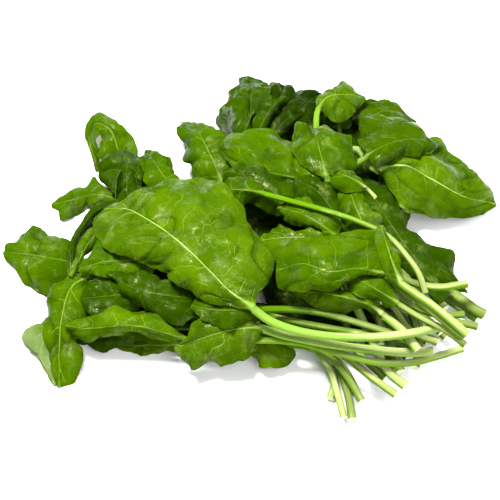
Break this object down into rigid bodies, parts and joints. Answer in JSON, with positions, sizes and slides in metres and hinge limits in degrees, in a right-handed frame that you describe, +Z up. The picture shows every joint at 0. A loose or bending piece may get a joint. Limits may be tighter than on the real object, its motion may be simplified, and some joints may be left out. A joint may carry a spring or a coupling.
{
  "type": "spinach bunch",
  "caption": "Loose heap of fresh spinach leaves with long pale stalks, lying flat on a table.",
  "frame": {"origin": "on the table, under the middle of the heap's box", "axes": "+X towards the cut ends of most stalks, +Y away from the front leaf, +Z up"},
  "size_m": [0.3246, 0.2894, 0.0684],
  "materials": {
    "leaf": "fresh leaf, half dull"
  },
  "bodies": {
    "root": {"back_dark": "leaf", "back_edge": "leaf", "back_floor": "leaf", "back_fold": "leaf", "back_left": "leaf", "back_lobe": "leaf", "back_long": "leaf", "back_roll": "leaf", "back_slim": "leaf", "back_strip": "leaf", "back_wedge": "leaf", "broad_front": "leaf", "centre_back": "leaf", "centre_fan": "leaf", "centre_floor": "leaf", "centre_floor_low": "leaf", "centre_left": "leaf", "centre_pale": "leaf", "crumpled": "leaf", "dark_beneath": "leaf", "droop": "leaf", "droop_back": "leaf", "edge_curve": "leaf", "far_left": "leaf", "folded_strip": "leaf", "front_small": "leaf", "inner_dark": "leaf", "inner_gloss": "leaf", "inner_strip": "leaf", "left_dark_arch": "leaf", "left_floor": "leaf", "left_floor_low": "leaf", "left_round": "leaf", "little_fold": "leaf", "lobed": "leaf", "long_curl": "leaf", "long_stalk": "leaf", "lower_broad": "leaf", "middle": "leaf", "right_dark": "leaf", "right_floor": "leaf", "right_large": "leaf", "right_upper": "leaf", "right_wave": "leaf", "small_cup": "leaf", "tall_hook": "leaf", "tip_beneath": "leaf", "top_hood": "leaf", "top_right_floor": "leaf", "top_small": "leaf", "tucked_left": "leaf", "under_front": "leaf", "under_front_back": "leaf", "under_left": "leaf", "under_middle": "leaf", "upper_left_floor": "leaf", "upper_left_small": "leaf", "upper_right": "leaf"}
  },
  "joints": []
}
